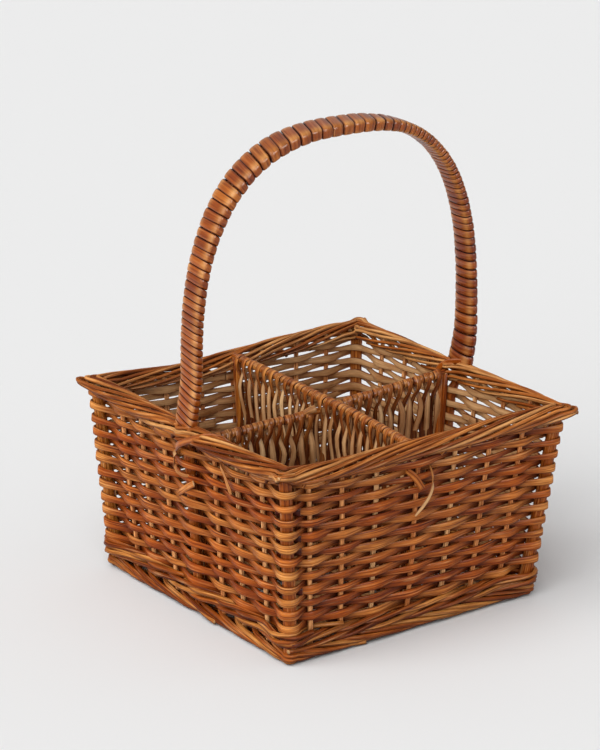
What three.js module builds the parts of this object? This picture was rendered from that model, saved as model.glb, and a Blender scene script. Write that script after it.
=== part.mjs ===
// Willow basket with four compartments and a wrapped bow handle.
// Millimetres, +Z up. The origin is the middle of the underside.
// X runs along the handle's span, Y along the longer side, and the front wall is at -Y.
import * as THREE from 'three';

// Wall frame: the rectangle of upright centres at the floor and its growth with height
const footHalfX = 99.5;
const footHalfY = 104.5;
const flarePerHeight = 0.08;
const stakesPerHalfWall = 3;
const stakeDiameter = 3.4;
const postDiameter = 9;
const clearance = 0.3;

// Foot ring, wale and wall weave
const footRingWidth = 12;
const footRingHeight = 7;
const footRingEdge = 2.2;
const footRingOut = 1.5;
const footCornerRadius = 12;
const waleDiameter = 3.4;
const waleGap = 0.4;
const weaverWidth = 4.1;
const weaverThickness = 1.8;
const weaverBarkShare = 0.6;
const rowGap = 0.65;
const turnsPerWeaver = 11;
const lengthsPerWeaver = 2;
const crossingLift = 0.4;
const endGap = 0.6;

// Top border of four rods laid round each other
const borderRodDiameter = 3.8;
const borderRods = 4;
const borderLays = 4;
const borderCentreOut = 3;
const borderHalfWidth = 5;
const borderHalfHeight = 3.4;
const borderSlope = 0.25;
const borderGap = 0.8;

// Floor
const floorStickDiameter = 4;
const floorSticks = 4;
const floorStickPitch = 46;
const floorWeaverWidth = 7;
const floorWeaverThickness = 1.8;
const floorWeaverPitch = 9;

// Bow handle and its wrapping
const handleTop = 324;
const handleShoulder = 172;
const handleSpread = 1.8;
const handleSquareness = 2.55;
const coreWidth = 9.4;
const coreCorner = 2.4;
const legWidth = 7.2;
const legTaper = 22;
const archSteps = 40;
const wrapWidth = 5.5;
const wrapThickness = 1.5;
const wrapPitch = 7;
const wrapClearance = 0.4;
const tieWidth = 5;
const tieThickness = 1.4;
const tieOffset = 13;
const tieTail = 5;

// Dividers: the long one runs along Y, the short ones meet it along X
const railDiameter = 4.4;
const longRailHeight = 128;
const railStep = 5;
const middleRailHeight = 68;
const strandWidth = 5.2;
const strandThickness = 1.6;
const strandPitch = 6.5;
const strandLift = 0.4;
const strandCrown = 0.6;

// Sides of the faceted rods
const roundSides = 8;
const stakeSides = 6;
const bentSides = 5;

const basket = new THREE.Group();
const up = new THREE.Vector3(0, 0, 1);
const vec = (x, y, z) => new THREE.Vector3(x, y, z);

// Sweeps a section along stations. Each station has its place and the section's two
// directions there, and the section is a ring of [wide, thick] pairs.
function sweep(stations, section, closed = false) {
  const count = stations.length;
  const sides = section.length;
  const positions = [];
  for (const { at, wide, thick, scale = 1 } of stations) {
    for (const [a, b] of section) {
      const p = at.clone().addScaledVector(wide, a * scale).addScaledVector(thick, b * scale);
      positions.push(p.x, p.y, p.z);
    }
  }
  const index = [];
  const rings = closed ? count : count - 1;
  for (let i = 0; i < rings; i += 1) {
    const here = i * sides;
    const next = ((i + 1) % count) * sides;
    for (let j = 0; j < sides; j += 1) {
      const k = (j + 1) % sides;
      index.push(here + j, next + j, here + k, here + k, next + j, next + k);
    }
  }
  if (!closed) {
    const last = (count - 1) * sides;
    for (let j = 1; j < sides - 1; j += 1) {
      index.push(0, j, j + 1, last, last + j + 1, last + j);
    }
  }
  const geometry = new THREE.BufferGeometry();
  geometry.setAttribute('position', new THREE.Float32BufferAttribute(positions, 3));
  geometry.setIndex(index);
  geometry.computeVertexNormals();
  return geometry;
}

// Gives each point of a path its mitred thick direction, square to its wide direction.
function band(path, closed = false) {
  const count = path.length;
  return path.map(({ at, wide, scale }, i) => {
    const across = wide.clone().normalize();
    const flat = (from, to) => to.clone().sub(from).projectOnPlane(across).normalize();
    const before = path[(i - 1 + count) % count].at;
    const after = path[(i + 1) % count].at;
    const first = !closed && i === 0;
    const last = !closed && i === count - 1;
    const incoming = first ? flat(at, after) : flat(before, at);
    const outgoing = last ? incoming : flat(at, after);
    const along = incoming.clone().add(outgoing).normalize();
    const thick = across.clone().cross(along).divideScalar(along.dot(incoming));
    return { at, wide, thick, scale };
  });
}

const polygon = (radius, sides) => Array.from({ length: sides }, (_, i) => {
  const angle = (2 * Math.PI * (i + 0.5)) / sides;
  return [radius * Math.cos(angle), radius * Math.sin(angle)];
});

// A split rod: its wide flat pith side has positive thickness, its bark side is narrower.
const splitRod = (width, thickness, barkShare) => [
  [-width / 2 * barkShare, -thickness / 2],
  [width / 2 * barkShare, -thickness / 2],
  [width / 2, thickness / 2],
  [-width / 2, thickness / 2],
];

// A rod with four flats and four chamfered edges
const chamferedRod = (wide, thick, edge) => {
  const [a, b] = [wide / 2, thick / 2];
  return [
    [edge - a, -b], [a - edge, -b], [a, edge - b], [a, b - edge],
    [a - edge, b], [edge - a, b], [-a, b - edge], [-a, edge - b],
  ];
};

function add(name, geometry, color, roughness = 0.6) {
  const material = new THREE.MeshStandardMaterial({ color, roughness, metalness: 0 });
  const mesh = new THREE.Mesh(geometry, material);
  mesh.name = name;
  basket.add(mesh);
}

const bark = 0xaa5f2d;
const barkLight = 0xb9733c;
const pith = 0xc8a06e;
const polished = 0xb5662c;

// Heights, each resting on the one below
const floorTop = footRingHeight + clearance + floorStickDiameter;
const firstWale = floorTop + clearance + waleDiameter / 2;
const waleHeights = [firstWale, firstWale + waleDiameter + waleGap];
const rowPitch = weaverWidth + rowGap;
const firstRow = waleHeights[1] + waleDiameter / 2 + waleGap + weaverWidth / 2;
const weaveTop = firstRow + 2 * turnsPerWeaver * rowPitch + weaverWidth / 2;
const borderReach = Math.hypot(borderHalfHeight, borderSlope * borderHalfWidth) + borderRodDiameter / 2;
const borderMiddle = weaveTop + borderGap + borderReach;
const uprightTop = borderMiddle - borderReach - clearance;
const uprightFoot = footRingHeight + clearance;

// Uprights, counterclockwise from the front left corner
const stakesPerWall = 2 * stakesPerHalfWall + 1;
const wallSteps = stakesPerWall + 1;
const corners = [
  { name: 'front_left', x: -1, y: -1 },
  { name: 'front_right', x: 1, y: -1 },
  { name: 'back_right', x: 1, y: 1 },
  { name: 'back_left', x: -1, y: 1 },
];
const walls = ['front', 'right', 'back', 'left'];
const halfX = (z) => footHalfX + flarePerHeight * z;
const halfY = (z) => footHalfY + flarePerHeight * z;
const legEdge = (coreCorner * legWidth) / coreWidth;
const legRadius = Math.hypot(legWidth / 2, legWidth / 2 - legEdge);
const legRoom = coreWidth / 2 + borderRodDiameter / 2 + clearance + 3 * crossingLift;
const bowHalfSpan = halfX(borderMiddle) + handleSpread;

function makeUprights() {
  const list = [];
  corners.forEach((corner, wall) => {
    const next = corners[(wall + 1) % corners.length];
    const out = vec((corner.x + next.x) / 2, (corner.y + next.y) / 2, 0);
    for (let step = 0; step < wallSteps; step += 1) {
      const share = step / wallSteps;
      const mix = (a, b) => a + (b - a) * share;
      const place = (z) => vec(mix(corner.x, next.x) * halfX(z), mix(corner.y, next.y) * halfY(z), z);
      const isLeg = out.x !== 0 && step === wallSteps / 2;
      if (step === 0) {
        const diagonal = vec(corner.x, corner.y, 0);
        list.push({ kind: 'post', name: corner.name, place, out: diagonal, radius: postDiameter / 2 });
      } else if (isLeg) {
        list.push({ kind: 'leg', name: walls[wall], place, out, radius: legRadius });
      } else {
        const name = `${walls[wall]}_${step}`;
        list.push({ kind: 'stake', name, place, out, radius: stakeDiameter / 2 });
      }
    }
  });
  return list;
}
const uprights = makeUprights();
const around = uprights.length;
const uprightAt = (i) => uprights[((i % around) + around) % around];
const rightLeg = uprights.findIndex((upright) => upright.kind === 'leg');
const leanAt = (upright) => upright.place(1).sub(upright.place(0)).normalize();

// The stations of a rod or weaver where it passes upright i, outside or inside it.
function passing(i, z, outside, thickness) {
  const upright = uprightAt(i);
  const centre = upright.place(z);
  const wide = leanAt(upright);
  const reach = upright.radius + thickness / 2 + clearance;
  if (upright.kind !== 'post') {
    const offset = (reach + crossingLift) * (outside ? 1 : -1);
    return [{ at: centre.addScaledVector(upright.out, offset), wide }];
  }
  if (!outside) return [{ at: centre.addScaledVector(upright.out, -reach), wide }];
  const eighth = Math.PI / 4;
  const radius = reach / Math.cos(eighth / 2);
  const middle = Math.atan2(upright.out.y, upright.out.x);
  return [-eighth, 0, eighth].map((turn) => {
    const angle = middle + turn;
    return { at: centre.clone().add(vec(radius * Math.cos(angle), radius * Math.sin(angle), 0)), wide };
  });
}

// A straight upright with level ends
function straightRod(from, to, section) {
  const level = { wide: vec(1, 0, 0), thick: vec(0, 1, 0) };
  return sweep([{ at: to, ...level }, { at: from, ...level }], section);
}

function addUprights() {
  for (const upright of uprights) {
    const from = upright.place(uprightFoot);
    const to = upright.place(uprightTop);
    if (upright.kind === 'post') {
      add(`corner_post_${upright.name}`, straightRod(from, to, polygon(postDiameter / 2, roundSides)), bark);
    }
    if (upright.kind === 'stake') {
      add(`stake_${upright.name}`, straightRod(from, to, polygon(stakeDiameter / 2, stakeSides)), pith);
    }
  }
}

// A ring with rounded corners that lies under all the uprights, flat underneath
function addFootRing() {
  const middle = footRingHeight / 2;
  const cornerSteps = 4;
  const path = corners.flatMap(({ x, y }) => {
    const centreX = x * (footHalfX + footRingOut - footCornerRadius);
    const centreY = y * (footHalfY + footRingOut - footCornerRadius);
    const diagonal = Math.atan2(y, x);
    return Array.from({ length: cornerSteps + 1 }, (_, i) => {
      const angle = diagonal + (Math.PI / 2) * (i / cornerSteps - 0.5);
      const across = footCornerRadius * Math.cos(angle);
      const along = footCornerRadius * Math.sin(angle);
      return { at: vec(centreX + across, centreY + along, middle), wide: up };
    });
  });
  const section = chamferedRod(footRingHeight, footRingWidth, footRingEdge);
  add('foot_ring', sweep(band(path, true), section, true), bark);
}

// Two wale rods, each inside one upright in four and never inside a corner post
function addWale() {
  const insideEvery = 4;
  waleHeights.forEach((z, row) => {
    const path = [];
    for (let i = 0; i < around; i += 1) {
      const outside = i % insideEvery !== row + 1;
      path.push(...passing(i, z, outside, waleDiameter));
    }
    const geometry = sweep(band(path, true), polygon(waleDiameter / 2, bentSides), true);
    add(`wale_rod_${row + 1}`, geometry, barkLight);
  });
}

// Two weavers chase each other up the wall, half a turn apart, and each is two lengths
// that meet behind a stake. Weaver a passes inside the even uprights, b inside the odd ones.
function addWeavers() {
  const section = splitRod(weaverWidth, weaverThickness, weaverBarkShare);
  const steps = turnsPerWeaver * around;
  const rise = (2 * rowPitch) / around;
  const evenLength = 2 * Math.round(steps / (2 * lengthsPerWeaver));
  ['a', 'b'].forEach((letter, odd) => {
    const begin = odd * (around / 2);
    const firstInside = begin + 2 - odd;
    const height = (i) => firstRow + rise * (i - begin);
    for (let length = 0; length < lengthsPerWeaver; length += 1) {
      const from = firstInside + length * evenLength;
      const to = length + 1 < lengthsPerWeaver ? from + evenLength : begin + steps - 2 + odd;
      const path = [];
      for (let i = from; i <= to; i += 1) {
        const inside = i % 2 === odd;
        path.push(...passing(i, height(i), !inside, weaverThickness));
      }
      shorten(path);
      add(`weaver_${letter}${length + 1}`, sweep(band(path), section), odd ? bark : barkLight);
    }
  });
}

// Draws both ends of a path back, so that lengths that follow each other keep a gap
function shorten(path) {
  const first = path[0];
  const last = path[path.length - 1];
  const start = path[1].at.clone().sub(first.at).setLength(endGap / 2);
  const end = path[path.length - 2].at.clone().sub(last.at).setLength(endGap / 2);
  first.at = first.at.clone().add(start);
  last.at = last.at.clone().add(end);
}

// Where a border rod passes upright i: how far outside the wall's middle and how far above the border's.
// Beside a handle leg two rods pass outside it and two inside.
function borderSpot(rod, i) {
  const turn = (borderLays * (i - rightLeg)) / around + (rod + 0.5) / borderRods;
  const swing = borderHalfWidth * Math.cos(2 * Math.PI * turn);
  const rise = borderHalfHeight * Math.sin(2 * Math.PI * turn) - borderSlope * swing;
  const out = uprightAt(i).kind === 'leg' ? Math.sign(swing) * legRoom : borderCentreOut + swing;
  return { out, rise };
}

function addBorder() {
  for (let rod = 0; rod < borderRods; rod += 1) {
    const path = uprights.map((upright, i) => {
      const { out, rise } = borderSpot(rod, i);
      const at = upright.place(borderMiddle).addScaledVector(upright.out, out).addScaledVector(up, rise);
      return { at, wide: up };
    });
    const geometry = sweep(band(path, true), polygon(borderRodDiameter / 2, bentSides), true);
    add(`border_rod_${rod + 1}`, geometry, rod % 2 ? bark : barkLight);
  }
}

// Sticks along X that rest on the foot ring, and one weaver that runs to and fro along Y
function addFloor() {
  const stickMiddle = footRingHeight + clearance + floorStickDiameter / 2;
  const stickEnd = footHalfX - stakeDiameter / 2 - 2 * clearance;
  const firstStick = ((1 - floorSticks) / 2) * floorStickPitch;
  const stickPlaces = Array.from({ length: floorSticks }, (_, i) => firstStick + i * floorStickPitch);
  stickPlaces.forEach((y, i) => {
    const ends = [-stickEnd, stickEnd].map((x) => ({ at: vec(x, y, stickMiddle), wide: up }));
    add(`floor_stick_${i + 1}`, sweep(band(ends), polygon(floorStickDiameter / 2, roundSides)), pith);
  });

  const inside = footRingWidth / 2 - footRingOut + 2 * clearance;
  const runEnd = footHalfY - inside - floorWeaverWidth / 2;
  const runReach = footHalfX - inside - floorWeaverWidth / 2;
  const runs = 2 * Math.floor(runReach / floorWeaverPitch) + 1;
  const lift = floorStickDiameter / 2 + floorWeaverThickness / 2 + clearance + crossingLift / 2;
  const path = [];
  for (let run = 0; run < runs; run += 1) {
    const x = (run - (runs - 1) / 2) * floorWeaverPitch;
    const way = run % 2 ? -1 : 1;
    const turnWide = vec(-1, 0, 0).multiplyScalar(way);
    const places = way > 0 ? stickPlaces : [...stickPlaces].reverse();
    path.push({ at: vec(x, -way * runEnd, stickMiddle), wide: run ? vec(-way, 1, 0) : turnWide });
    places.forEach((y) => {
      const over = (stickPlaces.indexOf(y) + run) % 2 ? 1 : -1;
      path.push({ at: vec(x, y, stickMiddle + over * lift), wide: turnWide });
    });
    path.push({ at: vec(x, way * runEnd, stickMiddle), wide: run + 1 < runs ? vec(-way, 1, 0) : turnWide });
  }
  const flat = splitRod(floorWeaverWidth, floorWeaverThickness, 1);
  add('floor_weaver', sweep(band(path), flat), barkLight);
}

// The bow's centre line from one leg's foot over the arch to the other, as [x, z] pairs
function archLine() {
  const rise = handleTop - handleShoulder;
  const power = 2 / handleSquareness;
  const line = [];
  for (let i = 0; i <= archSteps; i += 1) {
    const angle = (Math.PI * i) / archSteps;
    const across = Math.cos(angle);
    const x = -bowHalfSpan * Math.sign(across) * Math.abs(across) ** power;
    line.push([x, handleShoulder + rise * Math.sin(angle) ** power]);
  }
  return line;
}

function addHandle() {
  const arch = archLine();
  const legTop = borderMiddle + borderReach;
  const legs = [
    { z: uprightFoot, width: legWidth },
    { z: legTop - legTaper, width: legWidth },
    { z: legTop, width: coreWidth },
  ];
  const wide = vec(0, 1, 0);
  const left = legs.map(({ z, width }) => ({ at: vec(-halfX(z), 0, z), wide, scale: width / coreWidth }));
  const right = [...left].reverse().map(({ at, scale }) => ({ at: vec(-at.x, 0, at.z), wide, scale }));
  const bow = arch.map(([x, z]) => ({ at: vec(x, 0, z), wide, scale: 1 }));
  const stations = band([...left, ...bow, ...right]);
  const level = vec(1, 0, 0);
  for (const end of [stations[0], stations[stations.length - 1]]) {
    end.thick = level.clone().multiplyScalar(Math.sign(end.thick.x));
  }
  add('handle_core', sweep(stations, chamferedRod(coreWidth, coreWidth, coreCorner)), bark);
  addWrap([vec(-halfX(legTop), 0, legTop), ...bow.map(({ at }) => at), vec(halfX(legTop), 0, legTop)]);
  addTies();
}

// One unbroken strip wound round the bow between the two ends of the border
function addWrap(line) {
  const curve = new THREE.CurvePath();
  for (let i = 0; i + 1 < line.length; i += 1) curve.add(new THREE.LineCurve3(line[i], line[i + 1]));
  const margin = wrapWidth / 2 + 2 * clearance;
  const length = curve.getLength();
  const turns = Math.floor((length - 2 * margin) / wrapPitch);
  const wound = coreWidth + wrapThickness + 2 * wrapClearance;
  const ring = chamferedRod(wound, wound, coreCorner);
  const steps = turns * ring.length;
  const path = [];
  for (let i = 0; i <= steps; i += 1) {
    const share = (margin + (i * (length - 2 * margin)) / steps) / length;
    const along = curve.getTangentAt(share);
    const side = vec(0, 1, 0);
    const outward = side.clone().cross(along);
    const [a, b] = ring[i % ring.length];
    const at = curve.getPointAt(share).addScaledVector(side, a).addScaledVector(outward, b);
    path.push({ at, wide: along });
  }
  const stations = band(path);
  const section = splitRod(wrapWidth, wrapThickness, 1);
  console.log(`handle_wrap: ${turns} turns, least gap ${leastGap(stations, ring.length).toFixed(2)} mm`);
  add('handle_wrap', sweep(stations, section), polished, 0.35);
}

// The least distance from one turn's leading edge to the next turn's trailing edge, on points
function leastGap(stations, perTurn) {
  const edge = (sign) => stations.flatMap(({ at, wide, thick }) => [-1, 1].map((face) => (
    at.clone().addScaledVector(wide, (sign * wrapWidth) / 2).addScaledVector(thick, (face * wrapThickness) / 2)
  )));
  const leading = edge(1);
  const trailing = edge(-1);
  let least = Infinity;
  leading.forEach((point, i) => {
    const near = i + 2 * perTurn;
    for (let j = near - perTurn; j <= Math.min(near + perTurn, trailing.length - 1); j += 1) {
      least = Math.min(least, point.distanceTo(trailing[j]));
    }
  });
  return least;
}

// A flat strip laid over the border rods beside each leg, from inside the wall to outside it
function addTies() {
  const stakeSpacing = (2 * halfY(borderMiddle)) / wallSteps;
  const legs = { right: rightLeg, left: rightLeg + around / 2 };
  const section = splitRod(tieWidth, tieThickness, 1);
  for (const [name, leg] of Object.entries(legs)) {
    const spots = [];
    for (let rod = 0; rod < borderRods; rod += 1) {
      for (const edge of [-0.5, 0.5]) {
        const share = (tieOffset + edge * tieWidth) / stakeSpacing;
        const here = borderSpot(rod, leg);
        const next = borderSpot(rod, leg + 1);
        const mix = (key) => here[key] + share * (next[key] - here[key]);
        spots.push({ out: mix('out'), rise: mix('rise') });
      }
    }
    const room = borderRodDiameter / 2 + clearance + tieThickness / 2;
    const inner = Math.min(...spots.map(({ out }) => out)) - room;
    const outer = Math.max(...spots.map(({ out }) => out)) + room;
    const top = borderMiddle + Math.max(...spots.map(({ rise }) => rise)) + room;
    const low = borderMiddle - borderReach - tieTail;
    const profile = [
      [inner, low], [inner, top - tieThickness], [inner + tieThickness, top], [outer - tieThickness, top],
      [outer, top - tieThickness], [outer, borderMiddle - borderReach], [outer - tieTail / 2, low],
    ];
    const { place, out } = uprightAt(leg);
    const centre = place(borderMiddle);
    const along = vec(0, out.x, 0);
    const path = profile.map(([reach, z]) => ({
      at: centre.clone().addScaledVector(out, reach).addScaledVector(along, tieOffset).setZ(z), wide: along,
    }));
    add(`handle_tie_${name}`, sweep(band(path), section), polished, 0.45);
  }
}

// A divider: two rails and one strand that runs up and down between them and over the top rail.
// along and face are the panel's directions, and from and to give its two ends at a height.
function addDivider({ name, along, face, from, to, topRail }) {
  const half = strandThickness / 2;
  const lift = railDiameter / 2 + half + clearance + strandLift;
  const crown = strandCrown * lift;
  const floor = floorTop + floorWeaverThickness + clearance + crossingLift;
  const low = floor + strandWidth / 2;
  const railSection = polygon(railDiameter / 2, roundSides);
  for (const [label, z] of [['top', topRail], ['middle', middleRailHeight]]) {
    const ends = [from, to].map((end) => ({ at: along.clone().multiplyScalar(end(z)).setZ(z), wide: face }));
    add(`divider_${name}_${label}_rail`, sweep(band(ends), railSection), bark);
  }

  const room = strandWidth / 2 + clearance;
  const length = to(0) - from(0);
  const pairs = Math.floor((length - 2 * room + strandPitch) / (2 * strandPitch));
  const start = length / 2 - (pairs - 0.5) * strandPitch;
  const path = [];
  const spot = (run, out, z) => {
    const share = (start + run * strandPitch) / length;
    const height = Math.min(z, topRail);
    const place = from(height) + share * (to(height) - from(height));
    return along.clone().multiplyScalar(place).addScaledVector(face, out).setZ(z);
  };
  for (let pair = 0; pair < pairs; pair += 1) {
    const side = pair % 2 ? 1 : -1;
    const wide = along.clone().multiplyScalar(side);
    const runUp = 2 * pair;
    const runDown = runUp + 1;
    const turn = (sign) => along.clone().multiplyScalar(side).addScaledVector(up, sign);
    path.push({ at: spot(runUp, 0, low), wide: pair ? turn(-side) : wide });
    path.push({ at: spot(runUp, lift, middleRailHeight), wide });
    path.push({ at: spot(runUp, -lift, topRail), wide });
    path.push({ at: spot(runUp, -crown, topRail + lift), wide });
    path.push({ at: spot(runDown, crown, topRail + lift), wide });
    path.push({ at: spot(runDown, lift, topRail), wide });
    path.push({ at: spot(runDown, -lift, middleRailHeight), wide });
    path.push({ at: spot(runDown, 0, low), wide: pair + 1 < pairs ? turn(side) : wide });
  }
  add(`divider_${name}_strand`, sweep(band(path), splitRod(strandWidth, strandThickness, 1)), barkLight);
}

function addDividers() {
  const wallReach = weaverThickness + 2 * clearance + crossingLift;
  const rodReach = borderRodDiameter / 2 + clearance;
  const panelHalf = railDiameter / 2 + strandThickness + 2 * clearance + strandLift;
  const underBorder = borderMiddle - borderReach - clearance - railDiameter / 2;
  // The inside of a wall's weave, or of the border above it, whichever is nearer
  const inside = (half, weave, border) => (z) => {
    const room = half(z) - weave;
    return z > underBorder ? Math.min(room, half(borderMiddle) - border) : room;
  };
  const insideY = inside(halfY, stakeDiameter / 2 + wallReach, borderHalfWidth - borderCentreOut + rodReach);
  const insideX = inside(halfX, legRadius + wallReach, legRoom + rodReach);
  const shortRailHeight = longRailHeight - railStep;
  addDivider({
    name: 'long', along: vec(0, 1, 0), face: vec(-1, 0, 0), topRail: longRailHeight,
    from: (z) => -insideY(z), to: insideY,
  });
  addDivider({
    name: 'right', along: vec(1, 0, 0), face: vec(0, 1, 0), topRail: shortRailHeight,
    from: () => panelHalf, to: insideX,
  });
  addDivider({
    name: 'left', along: vec(1, 0, 0), face: vec(0, 1, 0), topRail: shortRailHeight,
    from: (z) => -insideX(z), to: () => -panelHalf,
  });
}

addUprights();
addFootRing();
addWale();
addWeavers();
addBorder();
addFloor();
addHandle();
addDividers();

export default basket;
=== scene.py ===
import math
import random

import bmesh
import bpy
import numpy as np
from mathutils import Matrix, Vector, noise


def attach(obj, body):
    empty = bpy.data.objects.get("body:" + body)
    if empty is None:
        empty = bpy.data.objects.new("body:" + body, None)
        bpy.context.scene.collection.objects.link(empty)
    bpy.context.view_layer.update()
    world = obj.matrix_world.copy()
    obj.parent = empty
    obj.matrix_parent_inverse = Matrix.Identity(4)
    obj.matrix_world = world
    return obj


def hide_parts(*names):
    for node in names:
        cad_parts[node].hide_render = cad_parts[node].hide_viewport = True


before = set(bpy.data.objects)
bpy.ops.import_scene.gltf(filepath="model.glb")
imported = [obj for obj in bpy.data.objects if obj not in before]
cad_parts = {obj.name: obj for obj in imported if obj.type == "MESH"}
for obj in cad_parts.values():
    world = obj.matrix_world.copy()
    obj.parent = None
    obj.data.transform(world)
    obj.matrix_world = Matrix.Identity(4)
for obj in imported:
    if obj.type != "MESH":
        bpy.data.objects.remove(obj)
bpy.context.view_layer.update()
mm = 0.001
chance = random.Random(7)
scene = bpy.context.scene
scene.view_settings.view_transform = "Standard"

# the wall frame that every woven piece follows, in millimetres
basket = {
    "footHalfX": 99.5, "footHalfY": 104.5, "flare": 0.08, "rim": 133,
    "skew": -1.5, "warp": 7,  # the foot lies a little to the left, and its front right corner is drawn in
    "bulge": (-0.8, -4.5),  # its front left corner stands out
    # how far the rim sags, by uprights counted from the front left corner
    "sag": ((0, 0), (1.5, -2.8), (4, -1.5), (6, 0), (8, 1), (9, 1.5), (10, 0.8), (12, 0.3), (16, 0),
            (17.5, -0.5), (19, -1.8), (20.2, -4.6), (22, -5.3), (23.2, -2.5), (24, -0.5), (26, -2.8),
            (28, -2.4), (30.5, -2.4), (32, 0)),
    "sagFade": 3,  # how fast the sag falls off towards the foot
    "frontPlaces": (-88, -62, -36, -3, 26, 53, 79),
    "leftPlaces": (80, 57, 30, 0, -30, -55.5, -84),
    "placesHeight": 70,
    "spread": 0.02,  # unevenness of the stakes on the other two walls
    "radius": {"stake": 1.7, "post": 4.5, "leg": 3.8},
}
wallNames = ("front", "right", "back", "left")
walls = (  # the way along each wall, and the way out of it
    (Vector((1, 0, 0)), Vector((0, -1, 0))),
    (Vector((0, 1, 0)), Vector((1, 0, 0))),
    (Vector((-1, 0, 0)), Vector((0, 1, 0))),
    (Vector((0, -1, 0)), Vector((-1, 0, 0))),
)
perWall = len(basket["frontPlaces"]) + 1  # a corner post and the uprights up to the next one


def halfX(z):
    return basket["footHalfX"] + basket["flare"] * z


def halfY(z):
    return basket["footHalfY"] + basket["flare"] * z


def makeUprights():
    level, loose = basket["placesHeight"], basket["spread"]
    even = [[2 * (k + 1) / perWall - 1 + chance.uniform(-loose, loose) for k in range(perWall - 1)]
            for side in range(2)]
    shares = (
        [x / halfX(level) for x in basket["frontPlaces"]], even[0],
        even[1], [-y / halfY(level) for y in basket["leftPlaces"]],
    )
    found = []
    for wall, name in enumerate(wallNames):
        found.append({"kind": "post", "wall": wall, "share": -1})
        for k, share in enumerate(shares[wall]):
            isLeg = name in ("right", "left") and k == perWall // 2 - 1
            found.append({"kind": "leg" if isLeg else "stake", "wall": wall, "share": 0 if isLeg else share})
    return found


uprights = makeUprights()
around = len(uprights)


def uprightAt(i, z):
    u = uprights[i % around]
    along, out = walls[u["wall"]]
    spot = along * u["share"] + out
    low = 1 - z / basket["rim"]
    near = (1 - spot.y) * low / 4  # how much of the front left and front right corners' shift falls here
    bulge = [near * (1 - spot.x) * b for b in basket["bulge"]]
    drawn = basket["warp"] * near * (1 + spot.x)
    x = spot.x * halfX(z) + basket["skew"] * low + bulge[0]
    y = spot.y * halfY(z) + drawn + bulge[1]
    return Vector((x, y, z))


# the value that a table of places and values has at a place
def readOff(table, place):
    return float(np.interp(place, *zip(*table)))


# how far the wall's top has sunk
def sagAt(s, z):
    return readOff(basket["sag"], s % around) * min(1, z / basket["rim"]) ** basket["sagFade"]


def outAt(i):
    u = uprights[i % around]
    out = walls[u["wall"]][1]
    return out + walls[u["wall"] - 1][1] if u["kind"] == "post" else out


# a place on the rim or foot: s counts uprights, and out and up move off the wall's middle line
def wallSpot(s, z, out, up):
    i = math.floor(s)
    share = s - i
    base = uprightAt(i, z).lerp(uprightAt(i + 1, z), share)
    way = outAt(i) if share == 0 else walls[uprights[i % around]["wall"]][1]
    return base + way * out + Vector((0, 0, up))


def wobble(amount, *seed):
    spot = Vector((seed + (0.5, 0.5, 0.5))[:3])
    return amount * noise.noise(spot)


# outlines that strands are drawn with: x points to the right of the strand's way, y up
def roundOutline(radius, sides):
    turns = [2 * math.pi * k / sides for k in range(sides)]
    return [(radius * math.cos(turn), radius * math.sin(turn)) for turn in turns]


# a split rod: nine points of bark face, then five of pith face, how much painted shade each one gets (most on
# the lower edge), and how pale each one is
splitRod = {
    "bark": ((-0.2, -1), (0.5, -0.97), (0.86, -0.84), (1, -0.42), (1.05, 0),
             (1, 0.42), (0.86, 0.84), (0.5, 0.97), (-0.2, 1)),
    "pith": ((0.75, 0.97), (1, 0.8), (1.05, 0), (1, -0.8), (0.75, -0.97)),
    "dark": (1, 0.85, 0.5, 0.18, 0.02, 0, 0.03, 0.25, 0.6, 0.45, 0.2, 0, 0.2, 0.55),
    "pale": (0,) * 9 + (0.2, 0.9, 1, 0.9, 0.2),
    "barkDepth": 0.56, "pithDepth": 0.44,
}


def splitOutline(width, thickness):
    half, bulge, flat = width / 2, thickness * splitRod["barkDepth"], -thickness * splitRod["pithDepth"]
    bark = [(bulge * x, half * y) for x, y in splitRod["bark"]]
    return bark + [(flat * x, half * y) for x, y in splitRod["pith"]]


def linkPiece(name, mesh, material):
    piece = bpy.data.objects.new(name, mesh)
    scene.collection.objects.link(piece)
    mesh.materials.append(material)
    return piece


def settle(piece, slot, *nodes):
    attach(piece, "root")
    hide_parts(*nodes)
    print(piece.name, len(piece.data.polygons), "faces")


# a curve through each line's points, drawn with the outline, all made one mesh
def drawStrands(name, lines, outline, steps, twist):
    section = bpy.data.curves.new(name + "Outline", "CURVE")
    edge = section.splines.new("POLY")
    edge.points.add(len(outline) - 1)
    edge.use_cyclic_u = True
    for point, (x, y) in zip(edge.points, outline):
        point.co = (x * mm, y * mm, 0, 1)
    sectionObject = bpy.data.objects.new(name + "Outline", section)
    scene.collection.objects.link(sectionObject)
    path = bpy.data.curves.new(name + "Path", "CURVE")
    path.dimensions = "3D"
    path.bevel_mode = "OBJECT"
    path.bevel_object = sectionObject
    path.twist_mode = twist
    path.use_fill_caps = False
    for line in lines:
        spline = path.splines.new("BEZIER")
        spline.bezier_points.add(len(line["at"]) - 1)
        spline.resolution_u = steps
        sizes = line.get("size") or [1] * len(line["at"])
        tilts = line.get("tilt") or [0] * len(line["at"])
        for point, at, size, tilt in zip(spline.bezier_points, line["at"], sizes, tilts):
            point.co = Vector(at) * mm
            point.radius = size
            point.tilt = tilt
            point.handle_left_type = point.handle_right_type = "AUTO"
    pathObject = bpy.data.objects.new(name + "Path", path)
    scene.collection.objects.link(pathObject)
    mesh = bpy.data.meshes.new_from_object(pathObject.evaluated_get(bpy.context.evaluated_depsgraph_get()))
    for spare in (pathObject, sectionObject):
        bpy.data.objects.remove(spare)
    mesh.name = name
    return mesh


# what sets one strand's grain off from the next, the painted shade on the underside of round rods, and the cut
# ends
strandLook = {"toneShift": 900, "seedShift": 57, "underside": 0.3, "cutInset": 0.25, "cutDepth": 0.15}


# painted shade on a round rod's underside, growing towards its bottom
def undersideShade(outline, under):
    radius, start = outline[0][0], strandLook["underside"]
    return [max(0, start - y / radius) / (1 + start) * under for x, y in outline]
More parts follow.
